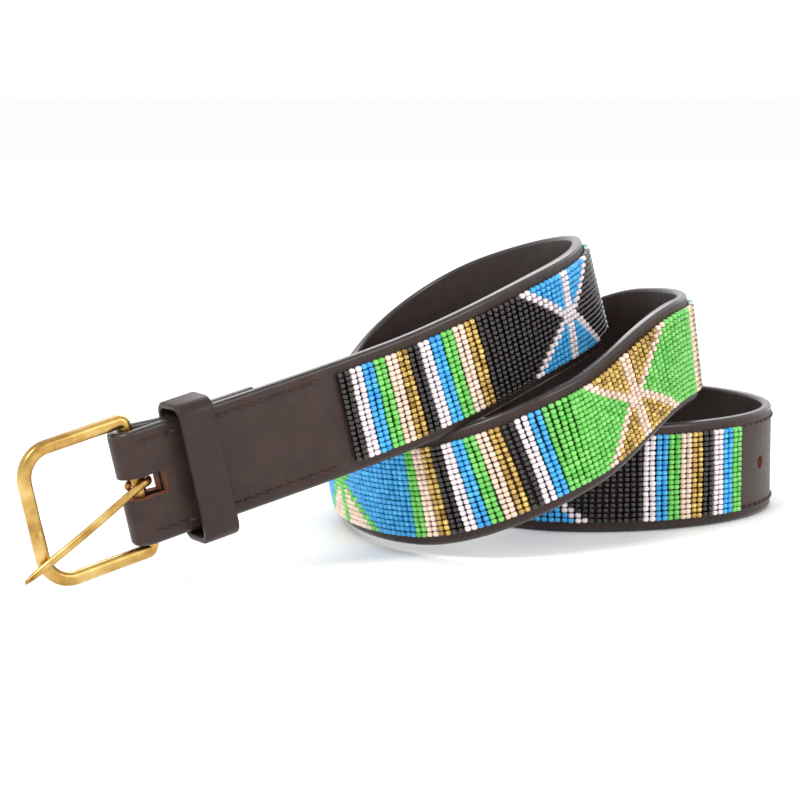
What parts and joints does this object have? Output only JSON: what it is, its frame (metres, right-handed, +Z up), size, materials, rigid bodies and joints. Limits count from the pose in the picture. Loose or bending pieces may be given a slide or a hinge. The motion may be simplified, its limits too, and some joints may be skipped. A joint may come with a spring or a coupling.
{
  "type": "beaded belt",
  "caption": "Leather belt faced with columns of seed beads, with a frame buckle, prong, keeper loop and punched tail, standing on its edges in a loose coil.",
  "frame": {"origin": "centre of the bounding box's bottom face", "axes": "+Z up from the surface the belt stands on; +X to the viewer's right, away from the buckle; +Y away from the viewer"},
  "size_m": [0.2376, 0.232, 0.0933],
  "materials": {
    "strap_leather": "smooth dark brown leather with burnished edges",
    "beads": "glossy opaque and silver-lined seed beads",
    "keeper_leather": "smooth dark brown leather",
    "brass": "polished, lightly worn"
  },
  "bodies": {
    "belt": {"strap": "strap_leather", "bead_panel": "beads", "keeper": "keeper_leather"},
    "buckle": {"buckle_frame": "brass"},
    "prong": {"prong": "brass"}
  },
  "joints": [
    {"name": "buckle_swing", "type": "hinge", "parent": "belt", "child": "buckle", "pos_m": [-0.08554, -0.09355, 0.03235], "axis": [-0.1976, -0.1182, 0.9731], "range_deg": [-30, 20]},
    {"name": "prong_swing", "type": "hinge", "parent": "buckle", "child": "prong", "pos_m": [-0.08554, -0.09355, 0.03235], "axis": [-0.1976, -0.1182, 0.9731], "range_deg": [0, 80]}
  ]
}
